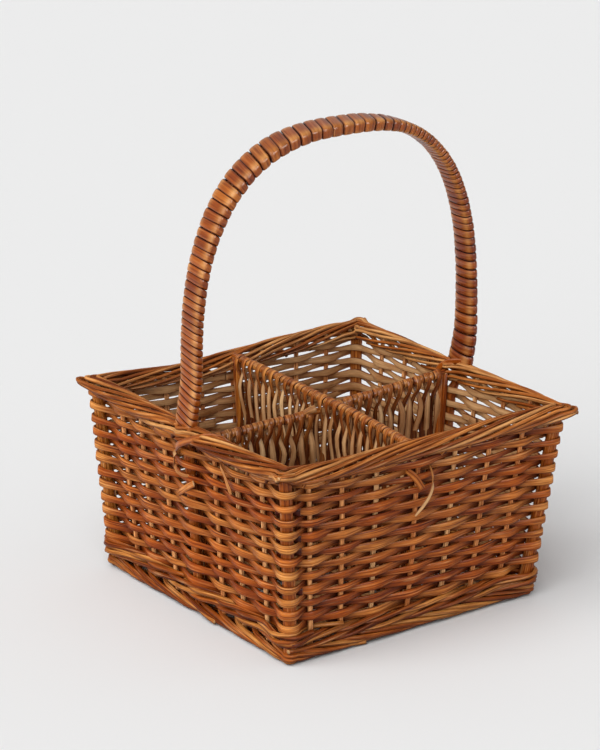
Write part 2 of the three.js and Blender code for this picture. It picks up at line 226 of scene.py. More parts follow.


# strands as one piece, with the grain, tone and pith of each, and its painted shade on edges, undersides and
# hidden passes, as attributes
def layStrands(name, lines, outline, material, steps, split=False, twist="Z_UP", under=0):
    mesh = drawStrands(name, lines, outline, steps, twist)
    sides, count = len(outline), len(mesh.vertices)
    co = np.empty(count * 3)
    mesh.vertices.foreach_get("co", co)
    co = co.reshape(count, 3)
    grain, tone, pith, rim = np.zeros((count, 3)), np.zeros(count), np.zeros(count), np.zeros(count)
    inner = np.array(splitRod["pale"] if split else [0.0] * sides)
    # painted shade on split strands' edges, or on round rods' undersides
    edges = np.array(splitRod["dark"] if split else undersideShade(outline, under))
    first = 0
    for line in lines:
        places = np.arange(len(line["at"]))
        rings = (len(places) - 1) * steps + 1
        last = first + rings * sides

        def perRing(key):
            return np.repeat(np.interp(np.arange(rings) / steps, places, line.get(key) or places * 0), sides)

        middle = co[first:last].reshape(rings, sides, 3).mean(1)
        run = np.concatenate(([0], np.cumsum(np.linalg.norm(np.diff(middle, axis=0), axis=1)))) / mm
        grain[first:last, 0] = (np.repeat(run, sides) + strandLook["toneShift"] * line["tone"]
                                + strandLook["seedShift"] * line.get("seed", 0))
        grain[first:last, 1:] = np.tile(np.array(outline), (rings, 1))
        tone[first:last] = line["tone"] + perRing("lift")
        pith[first:last] = np.maximum(np.tile(inner, rings) * line.get("bare", 1), perRing("pale"))
        # rim holds painted shade: on edges or undersides, and wherever the line asks for shade
        rim[first:last] = np.maximum(np.tile(edges, rings), np.tile(1 - inner, rings) * perRing("shade"))
        if "turn" in line:  # a line drawn lying down is stood up
            co[first:last] = co[first:last] @ np.array(line["turn"])
        first = last
    if first != count:
        raise ValueError(f"{name}: {first} places for {count} points")
    mesh.vertices.foreach_set("co", co.ravel())
    mesh.attributes.new("grain", "FLOAT_VECTOR", "POINT").data.foreach_set("vector", grain.ravel())
    for title, values in (("tone", tone), ("pith", pith), ("rim", rim)):
        mesh.attributes.new(title, "FLOAT", "POINT").data.foreach_set("value", values)
    bm = bmesh.new()
    bm.from_mesh(mesh)
    closed = bmesh.ops.holes_fill(bm, edges=bm.edges, sides=sides)["faces"]
    bmesh.ops.recalc_face_normals(bm, faces=bm.faces)
    for face in bm.faces:
        face.smooth = True
    bmesh.ops.inset_individual(bm, faces=closed, thickness=strandLook["cutInset"] * mm,
                               depth=strandLook["cutDepth"] * mm)
    cut = bm.verts.layers.float["pith"]
    for face in closed:
        for vert in face.verts:
            vert[cut] = 1
    bm.to_mesh(mesh)
    bm.free()
    return linkPiece(name, mesh, material)


# a colour given in screen values, made linear
def tint(red, green, blue):
    linear = [c / 255 / 12.92 if c <= 10 else ((c / 255 + 0.055) / 1.055) ** 2.4 for c in (red, green, blue)]
    return (*linear, 1)


# willow finishes: a tone for each rod, streaks along it, blotches, paler pith on split faces, pale streaks of
# wear and painted sheen, and painted shade where the rim attribute is set
black, white = (0, 0, 0, 1), (1, 1, 1, 1)
willowLook = {
    # noise along the strands: how it is stretched, and its detail
    "grains": {
        "fine": ((0.035, 0.85, 0.85), 4), "broad": ((0.05, 0.2, 0.2), 3), "crack": ((0.012, 1.3, 1.3), 2),
    },
    "grainRough": 0.6,
    # what darkens the wood: the noise or tone that it follows, from where to where, and its darkest tint
    "streaks": ("fine", 0.38, 0.58, (0.42, 0.26, 0.16, 1)),
    "blotches": ("broad", 0.36, 0.6, (0.45, 0.3, 0.2, 1)),
    "cracks": ("crack", 0.4, 0.46, (0.32, 0.17, 0.08, 1)),
    "pithLayers": (  # each with its strength first
        (0.5, "fine", 0.3, 0.58, (0.5, 0.38, 0.28, 1)),
        (0.7, "broad", 0.36, 0.56, (0.6, 0.42, 0.28, 1)),
        (0.6, "tone", 0, 0.6, (0.74, 0.6, 0.48, 1)),
    ),
    # pale streaks of wear and painted sheen along the grain, and the tint of the painted shade
    "wearAndSheenFrom": 0.56, "wearAndSheenTo": 0.72, "wearAndSheenTint": tint(240, 190, 132), "paintedShadeTint": (0.13, 0.045, 0.015, 1),
    "roughLess": 0.08, "roughMore": 0.14, "coatRough": 0.13, "specular": 0.09, "bump": 0.6, "bumpHeight": 0.35,
}


def willow(name, dark, middle, light, pith, rough=0.5, streak=0.75, blotch=0.5, coat=0.1, wearAndSheen=0.4):
    look = willowLook
    material = bpy.data.materials.new(name)
    material.use_nodes = True
    nodes, links = material.node_tree.nodes, material.node_tree.links
    shader = nodes["Principled BSDF"]
    shader.inputs["Coat Weight"].default_value = coat
    shader.inputs["Coat Roughness"].default_value = look["coatRough"]
    shader.inputs["Specular IOR Level"].default_value = look["specular"]

    def make(kind, **values):
        node = nodes.new(kind)
        for key, value in values.items():
            if hasattr(node, key):
                setattr(node, key, value)
            else:
                node.inputs[key].default_value = value
        return node

    def attribute(title):
        return make("ShaderNodeAttribute", attribute_name=title)

    def mixed(blend, factor, a, b):
        node = make("ShaderNodeMix", data_type="RGBA", blend_type=blend)
        for socket, value in ((node.inputs[0], factor), (node.inputs[6], a), (node.inputs[7], b)):
            if isinstance(value, bpy.types.NodeSocket):
                links.new(value, socket)
            else:
                socket.default_value = value
        return node.outputs[2]

    def ramp(source, *stops):
        node = make("ShaderNodeValToRGB")
        while len(node.color_ramp.elements) < len(stops):
            node.color_ramp.elements.new(0.5)
        for element, (place, colour) in zip(node.color_ramp.elements, stops):
            element.position = place
            element.color = colour
        links.new(source, node.inputs["Fac"])
        return node.outputs["Color"]

    def grainNoise(stretch, detail):
        mapping = make("ShaderNodeMapping")
        mapping.inputs["Scale"].default_value = stretch
        links.new(attribute("grain").outputs["Vector"], mapping.inputs["Vector"])
        node = make("ShaderNodeTexNoise", noise_dimensions="3D", Scale=1.0, Detail=detail,
                    Roughness=look["grainRough"])
        links.new(mapping.outputs["Vector"], node.inputs["Vector"])
        return node.outputs["Fac"]

    sources = {title: grainNoise(*grain) for title, grain in look["grains"].items()}
    sources["tone"] = attribute("tone").outputs["Fac"]

    def darken(colour, strength, source, low, high, darkest):
        return mixed("MULTIPLY", strength, colour, ramp(sources[source], (low, darkest), (high, white)))

    bark = ramp(sources["tone"], (0, tint(*dark)), (0.5, tint(*middle)), (1, tint(*light)))
    for strength, layer in ((streak, "streaks"), (blotch, "blotches"), (streak, "cracks")):
        bark = darken(bark, strength, *look[layer])
    # pale streaks, part wear and part painted sheen
    bare = ramp(sources["fine"], (look["wearAndSheenFrom"], black), (look["wearAndSheenTo"], (wearAndSheen, wearAndSheen, wearAndSheen, 1)))
    bark = mixed("MIX", bare, bark, look["wearAndSheenTint"])
    inner = tint(*pith)
    for layer in look["pithLayers"]:
        inner = darken(inner, *layer)
    colour = mixed("MIX", attribute("pith").outputs["Fac"], bark, inner)
    # painted shade, darkest where the rim attribute is highest
    colour = mixed("MULTIPLY", attribute("rim").outputs["Fac"], colour, look["paintedShadeTint"])
    links.new(colour, shader.inputs["Base Color"])
    gloss = make("ShaderNodeMapRange")
    gloss.inputs["To Min"].default_value = rough - look["roughLess"]
    gloss.inputs["To Max"].default_value = rough + look["roughMore"]
    links.new(sources["broad"], gloss.inputs["Value"])
    links.new(gloss.outputs["Result"], shader.inputs["Roughness"])
    bump = make("ShaderNodeBump", Strength=look["bump"], Distance=look["bumpHeight"] * mm)
    links.new(sources["fine"], bump.inputs["Height"])
    links.new(bump.outputs["Normal"], shader.inputs["Normal"])
    return material


# dark, middle and light bark, then pith
weaverFinish = willow("weaverWillow", (165, 75, 14), (204, 105, 26), (232, 155, 76), (226, 179, 126))
stakeFinish = willow("stakeWillow", (228, 142, 78), (250, 178, 112), (254, 204, 146), (240, 200, 148))
postFinish = willow("postWillow", (166, 84, 26), (192, 108, 36), (212, 134, 54), (224, 184, 134), rough=0.4)
borderFinish = willow("borderWillow", (164, 86, 26), (206, 126, 54), (236, 176, 108), (236, 192, 136), wearAndSheen=0.5)
footFinish = willow("footWillow", (148, 70, 14), (188, 102, 32), (222, 152, 76), (230, 184, 126))
skeinFinish = willow("handleSkein", (138, 56, 6), (170, 84, 14), (196, 112, 34), (230, 170, 102),
                     rough=0.34, streak=0.5, coat=0.5, wearAndSheen=0.15)
dividerFinish = willow("dividerSkein", (156, 78, 22), (188, 106, 38), (212, 138, 64), (246, 204, 150), coat=0.3)
print("finishes made")

# corner posts
posts = {
    "foot": 4, "top": 131, "radius": 4.4, "sides": 12, "bends": 6,
    "footSize": 1.06, "taper": 0.1, "sway": 0.8, "knots": 0.06,
    "corners": ("front_left", "front_right", "back_right", "back_left"),
}


def makePosts():
    lines = []
    bends, sway = posts["bends"], posts["sway"]
    for i in range(0, around, perWall):
        at, size = [], []
        for k in range(bends + 1):
            z = posts["foot"] + (posts["top"] - posts["foot"]) * k / bends
            at.append(uprightAt(i, z) + Vector((wobble(sway, i, z / 40), wobble(sway, z / 40, i), 0)))
            size.append(posts["footSize"] - posts["taper"] * k / bends + wobble(posts["knots"], z / 15, i, 3))
        lines.append({"at": at, "size": size, "tone": chance.random(), "seed": i})
    outline = roundOutline(posts["radius"], posts["sides"])
    piece = layStrands("corner_posts", lines, outline, postFinish, steps=4, twist="MINIMUM")
    settle(piece, "post_willow", *[f"corner_post_{corner}" for corner in posts["corners"]])


# stakes between the posts
stakes = {
    "foot": 6, "top": 133, "radius": 1.75, "sides": 8, "bends": 7,
    "footSize": 1.05, "taper": 0.12, "sway": 1.0, "lean": 0.4, "knots": 0.1,
}


def makeStakes():
    lines, nodes = [], []
    bends = stakes["bends"]
    for i, u in enumerate(uprights):
        if u["kind"] != "stake":
            continue
        along, out = walls[u["wall"]]
        height = stakes["top"] + sagAt(i, stakes["top"]) - stakes["foot"]
        at, size = [], []
        for k in range(bends + 1):
            z = stakes["foot"] + height * k / bends
            sway, lean = wobble(stakes["sway"], z / 45, i), wobble(stakes["lean"], i, z / 30)
            at.append(uprightAt(i, z) + along * sway + out * lean)
            knots = wobble(stakes["knots"], z / 20, i, 5)
            size.append(stakes["footSize"] - stakes["taper"] * k / bends + knots)
        lines.append({"at": at, "size": size, "tone": chance.random(), "seed": i})
        nodes.append(f"stake_{wallNames[u['wall']]}_{i % perWall}")
    outline = roundOutline(stakes["radius"], stakes["sides"])
    piece = layStrands("wall_stakes", lines, outline, stakeFinish, steps=3, twist="MINIMUM")
    settle(piece, "stake_willow", *nodes)


# two weavers chase each other up the wall, each made of many split rods that taper and end inside the wall
weave = {
    "firstRow": 21.2, "rowPitch": 4.75, "turns": 11.5, "width": 5.7, "thickness": 1.6, "settleIn": 0.85,
    "rodSteps": (24, 40), "shortest": 10, "tail": 8, "tuck": 0.8,
    "broad": (0.9, 1.12), "taper": 0.3, "uneven": 0.16,
    "waist": 0.78, "waistShade": 0.42,  # a rod is pinched and gets painted shade where it crosses the next row
    "lift": 0.35, "drift": 0.7, "bob": 0.5, "waistTilt": 0.3, "tilt": 0.25,
    # the tone lift where a rod wraps a corner post is a painted highlight
    "tones": (0.15, 0.9), "cornerPaintedHighlight": 0.4,
}


def passUpright(i, z, outside):
    u = uprights[i % around]
    centre = uprightAt(i, z)
    reach = basket["radius"][u["kind"]] + weave["settleIn"]
    if u["kind"] != "post":
        return [centre + outAt(i) * (reach if outside else -reach)]
    before, after = walls[u["wall"] - 1][1], walls[u["wall"]][1]
    corner = (before + after).normalized()
    if not outside:
        return [centre - corner * reach]
    return [centre + before * reach, centre + corner * reach, centre + after * reach]


# both ends of a rod run on a little inside the wall
def runOn(end, before, i):
    inward = -outAt(i).normalized()
    away = end - before
    away.z = 0
    away -= inward * away.dot(inward)
    return end + away.normalized() * weave["tail"] + inward * weave["tuck"]


def makeWeave():
    lines = []
    pitch = 2 * weave["rowPitch"]
    for odd in range(2):
        begin = odd * around // 2
        end = begin + int(weave["turns"] * around)
        lastStop = end - 2 + odd
        step = begin + 2 - odd
        while step < end - 2:
            length = 2 * round(chance.uniform(*weave["rodSteps"]) / 2)
            stop = min(step + length, lastStop)
            if end - stop < weave["shortest"]:
                stop = lastStop
            at, size, tilt, shade, paintedLight = [], [], [], [], []
            seed = len(lines)
            broad = chance.uniform(*weave["broad"])
            lift = chance.uniform(-weave["lift"], weave["lift"])
            for i in range(step, stop + 1):
                outside = i % 2 != odd
                z = weave["firstRow"] + pitch * (i - begin) / around + lift
                stray = wobble(weave["drift"], i * 0.37, seed) + wobble(weave["bob"], i * 1.1, 7, seed)
                z += stray + sagAt(i, z)
                share = (i - step) / (stop - step)
                spots = passUpright(i, z, outside)
                full = broad * (1 + weave["taper"] * (0.5 - share)) + wobble(weave["uneven"], i * 0.8, seed, 9)
                if at:  # half way from the upright before
                    at.append((at[-1] + spots[0]) / 2)
                    size.append(full * weave["waist"])
                    tilt.append(wobble(weave["waistTilt"], i * 0.9, seed, 4))
                    shade.append(weave["waistShade"])
                    paintedLight.append(0)
                for spot in spots:
                    at.append(spot)
                    size.append(full)
                    tilt.append(wobble(weave["tilt"], i * 0.6, seed, 4))
                    # painted shade where the rod passes inside the wall, and a painted highlight where it wraps
                    # a corner post
                    shade.append(0 if outside else 1)
                    paintedLight.append(weave["cornerPaintedHighlight"] if len(spots) > 1 else 0)
            lines.append({
                "at": [runOn(at[0], at[1], step)] + at + [runOn(at[-1], at[-2], stop)],
                "size": [size[0]] + size + [size[-1]], "tilt": [0] + tilt + [0], "shade": [1] + shade + [1],
                "lift": [0] + paintedLight + [0], "tone": chance.uniform(*weave["tones"]), "seed": seed,
            })
            step = stop
    outline = splitOutline(weave["width"], weave["thickness"])
    piece = layStrands("wall_weave", lines, outline, weaverFinish, steps=3, split=True)
    settle(piece, "weaver_willow", "weaver_a1", "weaver_a2", "weaver_b1", "weaver_b2")


# three rods waled round the bottom of the wall, in front of two uprights and behind one
wale = {
    "rods": 3, "low": 10.6, "rise": 5.1, "rounds": 2, "radius": 1.7, "sides": 8, "reach": 1.6,
    "heave": (0, -0.9, 1.7), "bob": 0.5, "knots": 0.2,
}


def makeWale():
    lines = []
    for rod in range(wale["rods"]):
        at, size = [], []
        for i in range(rod, rod + wale["rounds"] * around + 1):
            phase = (i - rod) % wale["rods"]
            z = wale["low"] + wale["rise"] * (i - rod) / around + wale["heave"][phase]
            z += wobble(wale["bob"], i * 0.7, rod)
            kind = uprights[i % around]["kind"]
            reach = basket["radius"][kind] + wale["reach"]
            if kind == "post":
                at.append(uprightAt(i, z) + outAt(i).normalized() * reach)
            else:
                at.append(uprightAt(i, z) + outAt(i) * (-reach if phase == 0 else reach))
            size.append(1 + wobble(wale["knots"], i * 0.4, rod, 2))
        lines.append({"at": at, "size": size, "tone": chance.random(), "seed": rod})
    outline = roundOutline(wale["radius"], wale["sides"])
    piece = layStrands("bottom_wale", lines, outline, footFinish, steps=5, under=1)
    settle(piece, "weaver_willow", "wale_rod_1", "wale_rod_2")


# what both borders share: how far rods stray, and the room round a corner or a handle leg
rolled = {
    "outStray": 0.9, "upStray": 0.7, "upSway": 0.7, "bendRoom": 0.2, "bendSharp": 0.16,
    "footSize": 1.1, "knots": 0.12, "cutTone": 0.8, "cutSeed": 90,
}


def layAt(lay, place):
    for (p, out, up), (q, nextOut, nextUp) in zip(lay, lay[1:]):
        if place <= q:
            share = (place - p) / (q - p)
            return out + (nextOut - out) * share, up + (nextUp - up) * share
    return lay[-1][1:]


def bentRods(name, spec, finish):
    lines = []
    end = spec["lay"][-1][0]
    room, sharp = rolled["bendRoom"], rolled["bendSharp"]
    for k in range(spec["rods"]):
        at, size = [], []
        sway = [chance.uniform(-spec["sway"], spec["sway"]) for way in range(2)]
        begin = k * around / spec["rods"]
        stops = {begin + p for p, out, up in spec["lay"]}
        for s in range(math.ceil(begin + room), math.floor(begin + end) + 1):
            if uprights[s % around]["kind"] != "stake":  # three points keep a corner sharp
                stops = {t for t in stops if abs(t - s) > room or t == begin} | {s - sharp, s, s + sharp}
        for s in sorted(stops):
            place = s - begin
            out, up = layAt(spec["lay"], place)
            away, slim = min(1, place), 1
            out += away * (sway[0] + wobble(rolled["outStray"], k, place * 0.8))
            up += away * (sway[1] * rolled["upSway"] + wobble(rolled["upStray"], place * 0.8, k))
            if s == int(s) and place > 0:
                kind = uprights[int(s) % around]["kind"]
                if kind == "leg" and spec["legRoom"]:
                    out = math.copysign(max(abs(out), spec["legRoom"]), out - 1)
                if kind == "post" and out > 0:  # drawn out to a tip
                    out *= spec["cornerPull"]
                    up = up * spec["cornerPinch"] + spec["cornerLift"]
                    slim = spec["cornerSlim"]
            at.append(wallSpot(s, spec["height"], out, up + sagAt(s, spec["height"])))
            knots = wobble(rolled["knots"], k, place, 6)
            size.append(slim * (rolled["footSize"] - spec["taper"] * place + knots))
        lines.append({"at": at, "size": size, "tone": chance.random(), "seed": k})
    for k, at in enumerate(spec["cutEnds"]):
        lines.append({"at": at, "tone": rolled["cutTone"], "seed": rolled["cutSeed"] + k})
    return layStrands(name, lines, roundOutline(spec["radius"], spec["sides"]), finish, steps=5, under=1)


# top border: each rod bends over, runs outside, over the top and down inside
topBorder = {
    "height": 133.6, "rods": 42, "radius": 1.5, "sides": 8, "legRoom": 7.8, "taper": 0.055, "sway": 0.5,
    "cornerPull": 1.3, "cornerPinch": 0.5, "cornerLift": 2.2, "cornerSlim": 0.85,
    # uprights passed, then how far out and up the rod is there
    "lay": ((0, 0, -9), (0.1, 1.2, -5.8), (0.45, 4.2, -4.4), (1, 6.2, -3.2), (2, 6.6, 0.5), (3, 3.9, 3.6),
            (4, -0.6, 4.7), (5, -4.8, 2.6), (6, -6.2, -1.8), (6.7, -5.2, -5.0), (7.05, -3.8, -6.2)),
    "cutEnds": (
        ((-106, -121, 135), (-114, -122.4, 136.2), (-120.4, -123, 135.8)),
        ((-118, -110, 133), (-119.4, -117, 134.6), (-120.6, -121.6, 134)),
        ((106, -119, 134.6), (114, -121.4, 134.6), (122.4, -122.4, 133.6)),
        ((110, -113, 135), (117, -118, 136.4), (122.6, -120, 136)),
        ((102, 113, 133), (110, 117, 133.8), (116, 119, 135.2), (120.4, 120.6, 136.4)),
    ),
}


def makeTopBorder():
    piece = bentRods("top_border", topBorder, borderFinish)
    settle(piece, "border_willow", *[f"border_rod_{k}" for k in range(1, 5)])


# foot border, rolled the same way under the wall
footBorder = {
    "height": 4.6, "rods": 40, "radius": 1.65, "sides": 8, "legRoom": 0, "taper": 0.06, "sway": 0.2,
    "cornerPull": 1, "cornerPinch": 1, "cornerLift": 0, "cornerSlim": 1,
    "lay": ((0, 0, 7), (0.1, 1, 4.6), (0.5, 3.2, 3.4), (1, 4.3, 1.8), (2, 3.6, -1.6), (3, -0.4, -2.6),
            (4, -4.0, -1.2), (4.7, -4.4, 2.0), (5, -3.4, 4.4)),
    "cutEnds": (
        ((-103, 6, 6), (-105.6, -8, 4.4), (-106.6, -18, 3.4), (-106.8, -27, 2.8)),
        ((-74, -107.6, 5), (-62, -109.2, 3.6), (-52, -110, 2.6), (-43, -110.4, 2)),
    ),
}


def makeFootBorder():
    piece = bentRods("foot_border", footBorder, footFinish)
    settle(piece, "border_willow", "foot_ring")


# floor of sticks and split strips
floorWeave = {
    "stickPlaces": (-69, -23, 23, 69), "stickHeight": 9.3, "stickRadius": 2.0, "stickSides": 10, "stickEnd": 94,
    "strips": 21, "stripPitch": 8.8, "stripWidth": 7.6, "stripThickness": 1.5, "stripEnd": 98,
    "stickSway": 0.8, "stripSway": 1.0, "endLift": 0.5,
}


def makeFloor():
    height, end = floorWeave["stickHeight"], floorWeave["stickEnd"]
    lines = []
    for y in floorWeave["stickPlaces"]:
        at = [Vector((x, y + wobble(floorWeave["stickSway"], x, y), height))
              for x in (-end, -end / 2, 0, end / 2, end)]
        lines.append({"at": at, "tone": chance.random(), "seed": y})
    outline = roundOutline(floorWeave["stickRadius"], floorWeave["stickSides"])
    piece = layStrands("floor_sticks", lines, outline, stakeFinish, steps=4)
    settle(piece, "stake_willow", *[f"floor_stick_{k}" for k in range(1, 5)])
    lines = []
    lift = floorWeave["stickRadius"] + floorWeave["stripThickness"] / 2
    for k in range(floorWeave["strips"]):
        x = (k - (floorWeave["strips"] - 1) / 2) * floorWeave["stripPitch"]
        near, far = [Vector((x, y, height + floorWeave["endLift"]))
                     for y in (-floorWeave["stripEnd"], floorWeave["stripEnd"])]
        at = [near]
        for j, y in enumerate(floorWeave["stickPlaces"]):
            over = lift if (j + k) % 2 else -lift
            at.append(Vector((x + wobble(floorWeave["stripSway"], k, y / 30), y, height + over)))
        at.append(far)
        lines.append({"at": at, "tilt": [math.pi / 2] * len(at), "tone": chance.random(), "seed": k})
    outline = splitOutline(floorWeave["stripWidth"], floorWeave["stripThickness"])
    piece = layStrands("floor_weave", lines, outline, weaverFinish, steps=6, split=True)
    settle(piece, "weaver_willow", "floor_weaver")


# bow handle: three rods side by side bent to an arch, the middle one running down into the side walls
bow = {
    "top": 322.5, "shoulder": 172, "halfSpans": (113.6, 110.6), "shift": 7.3, "squareness": (2.52, 2.84),
    "twist": -3.2, "twistRise": 30, "rootHeight": 126, "roots": (-111.4, 114),
    "crownSteps": 160, "legSteps": 12, "legHeights": (8, 40, 80, 108, 118), "legScale": 1.7, "legTone": 0.1,
    "rodRadius": 2.2, "rodSides": 12, "rodPitch": 4.9, "rodTone": 0.3, "archStep": 5,
}


def bowLine():
    crown = []
    for k in range(bow["crownSteps"] + 1):
        angle = math.pi * k / bow["crownSteps"]
        across = math.cos(angle)
        halfSpan, squareness = [bow[key][across < 0] for key in ("halfSpans", "squareness")]
        power = 2 / squareness
        x = bow["shift"] - halfSpan * math.copysign(abs(across) ** power, across)
        z = bow["shoulder"] + (bow["top"] - bow["shoulder"]) * math.sin(angle) ** power
        crown.append(Vector((x, 0, z)))
    legs = []
    for root, shoulder in zip(bow["roots"], (crown[0].x, crown[-1].x)):
        legs.append([])
        for k in range(bow["legSteps"]):
            share = k / bow["legSteps"]
            ease = share * share * (3 - 2 * share)
            z = bow["rootHeight"] + (bow["shoulder"] - bow["rootHeight"]) * share
            legs[-1].append(Vector((root + (shoulder - root) * ease, 0, z)))
    line = legs[0] + crown + legs[1][::-1]
    for point in line:
        share = (point.x / bow["halfSpans"][0] + 1) / 2
        point.y = bow["twist"] * share * min(1, (point.z - bow["rootHeight"]) / bow["twistRise"])
    return line


def makeBow():
    line = bowLine()
    heights = bow["legHeights"]
    leftLeg, rightLeg = [i for i, u in enumerate(uprights) if u["kind"] == "leg"][::-1]
    left = [uprightAt(leftLeg, z) for z in heights]
    right = [uprightAt(rightLeg, z) for z in reversed(heights)]
    arch = line[::bow["archStep"]] + [line[-1]]
    legSize = [bow["legScale"]] * len(heights)
    rods = [{"at": left + arch + right, "size": legSize + [1] * len(arch) + legSize, "tone": bow["legTone"]}]
    for side in (-1, 1):
        beside = Vector((0, side * bow["rodPitch"], 0))
        rods.append({"at": [point + beside for point in arch], "tone": bow["rodTone"], "seed": side})
    outline = roundOutline(bow["rodRadius"], bow["rodSides"])
    piece = layStrands("handle_bow", rods, outline, postFinish, steps=2, twist="MINIMUM")
    settle(piece, "post_willow", "handle_core")
    return line


# a strip's outline, screwed to a helix of one unit a turn
def helix(outline, turns, steps):
    count = len(outline)
    profile = bpy.data.meshes.new("stripOutline")
    profile.from_pydata([(x, r, 0) for x, r in outline], [(k, (k + 1) % count) for k in range(count)], [])
    strip = bpy.data.objects.new("stripOutline", profile)
    scene.collection.objects.link(strip)
    screw = strip.modifiers.new("screw", "SCREW")
    screw.axis = "X"
    screw.screw_offset = 1
    screw.iterations = turns
    screw.steps = screw.render_steps = steps
    mesh = bpy.data.meshes.new_from_object(strip.evaluated_get(bpy.context.evaluated_depsgraph_get()))
    bpy.data.objects.remove(strip)
    return mesh


# what all wound strips share: a rounded outline, and where the painted shade on its edges, in the seams between
# turns, begins
stripLook = {
    "outline": ((-1, 0), (-1, 0.42), (-0.93, 0.68), (-0.76, 0.87), (-0.38, 0.98),
                (0.38, 0.98), (0.76, 0.87), (0.93, 0.68), (1, 0.42), (1, 0)),
    "rimFrom": 0.77, "rimFade": 0.2, "turnGrain": 48, "places": 600, "nearby": 0.8,
    "wearAndSheenPower": 6, "patchy": 0.8,
}


# one strip wound round each line: a helix whose points then go to their places along the line
def windStrips(name, lines, spec, material):
    bm = bmesh.new()
    grain = bm.verts.layers.float_vector.new("grain")
    tone, pith, rim = [bm.verts.layers.float.new(title) for title in ("tone", "pith", "rim")]
    half, thick, low = spec["share"] / 2, spec["thickness"], spec["inner"]
    outline = [(half * x, low + thick * r) for x, r in stripLook["outline"]]
    near, patchy = stripLook["nearby"], stripLook["patchy"]
    for line, side in lines:
        span = np.concatenate(([0], np.cumsum([(b - a).length for a, b in zip(line, line[1:])])))
        axes = [np.array(axis) for axis in zip(*line)]

        def spotAt(d):
            return Vector([float(np.interp(d, span, axis)) for axis in axes])

        length = span[-1] - spec["from"] - spec["until"]
        places = np.linspace(0, length, stripLook["places"])
        pitch = np.interp(places / length, *zip(*spec["pitches"]))
        wound = np.concatenate(([0], np.cumsum(np.diff(places) / pitch[1:])))  # turns laid up to each place
        first = len(bm.verts)
        bm.from_mesh(helix(outline, int(wound[-1]), spec["steps"]))
        bm.verts.ensure_lookup_table()
        for vert in bm.verts[first:]:
            x, y, z = vert.co
            angle = math.atan2(z, y)
            lap = angle / (2 * math.pi)
            turn = round(x - lap) + lap
            off = x - turn
            broader = 1 + wobble(spec["uneven"], turn * 1.3, first, 5)
            laid = turn + off * broader + wobble(spec["uneven"], turn * 0.6, 3)
            along = float(np.interp(laid, wound, places)) + spec["from"]
            share = along / span[-1]
            # the section is an oval, squarer with a higher power
            power = readOff(spec["square"], share)
            square = (abs(math.cos(angle)) ** power + abs(math.sin(angle)) ** power) ** (-1 / power)
            bent = abs(math.sin(2 * angle))
            reach = math.hypot(y, z) + wobble(spec["bumps"], turn * 0.9, angle * 0.3, 2)
            out, over = square * math.cos(angle), square * math.sin(angle)
            along += readOff(spec["outSkew"], share) * out + readOff(spec["overSkew"], share) * over
            tangent = (spotAt(along + near) - spotAt(along - near)).normalized()
            outward = tangent.cross(side).normalized()
            across = outward.cross(tangent)
            offset = outward * (reach * out) + across * ((reach + spec["broad"]) * over)
            vert.co = (spotAt(along) + offset * readOff(spec["swell"], share)) * mm
            vert[grain] = Vector((turn * stripLook["turnGrain"], off * spec["grainWidth"], reach))
            vert[tone] = readOff(spec["tone"], share) + wobble(spec["tones"], turn * 0.4, first, 8)
            # painted shade along the strip's edges, in the seams between turns
            vert[rim] = min(1, max(0, abs(off) / half - stripLook["rimFrom"]) / stripLook["rimFade"])
            # edge wear and a painted glint: palest where the strip bends hardest
            wearAndSheen = spec["wearAndSheen"] * bent ** stripLook["wearAndSheenPower"] * (1 - vert[rim])
            vert[pith] = wearAndSheen * (patchy + wobble(patchy, turn * 0.8, 4, first))
    bmesh.ops.holes_fill(bm, edges=bm.edges, sides=len(outline))
    bmesh.ops.recalc_face_normals(bm, faces=bm.faces)
    for face in bm.faces:
        face.smooth = True
    mesh = bpy.data.meshes.new(name)
    bm.to_mesh(mesh)
    bm.free()
    return linkPiece(name, mesh, material)


# the skein round the bow: a flat oval, wound closest where the bow bends hardest
# tables go from the left root to the right one
winding = {
    "from": 2, "until": 5, "inner": 2.4, "broad": 6.1, "thickness": 1.5, "share": 0.97, "steps": 44,
    "uneven": 0.1, "bumps": 0.25, "grainWidth": 5, "tones": 0.7, "wearAndSheen": 0.62,
    "tone": ((0, 0.5), (0.2, 0.4), (0.45, 0.6), (0.68, 0.5), (0.8, 0.1), (1, 0.1)),
    "square": ((0, 4), (0.56, 4.4), (0.7, 3.2), (0.84, 2.3), (1, 2.2)),
    "outSkew": ((0, -0.5), (0.06, 0.1), (0.13, 1), (0.2, 0.4), (0.28, -0.3), (0.5, -0.9), (0.66, -0.4),
                (0.85, -1.1), (1, -1.1)),
    "overSkew": ((0, 2.6), (0.06, 1.8), (0.13, 0.6), (0.2, 0), (0.28, -0.5), (0.38, 1.8), (0.5, 3), (0.6, 2),
                 (0.7, 0.6), (0.85, 1), (1, 1)),
    "swell": ((0, 1), (0.24, 1.02), (0.34, 1.16), (0.44, 1.24), (0.54, 1.24), (0.6, 1.1), (0.66, 0.95),
              (0.8, 1.04), (0.92, 1.14), (1, 1.3)),
    "pitches": ((0, 4.6), (0.16, 4.9), (0.22, 6), (0.3, 6.6), (0.42, 8.8), (0.55, 8.6), (0.6, 5), (0.64, 3.4),
                (0.7, 3.4), (0.76, 4.6), (0.84, 6), (0.92, 7), (1, 7.2)),
}


def windHandle(line):
    piece = windStrips("handle_winding", [(line, Vector((0, 1, 0)))], winding, skeinFinish)
    settle(piece, "handle_skein", "handle_wrap")


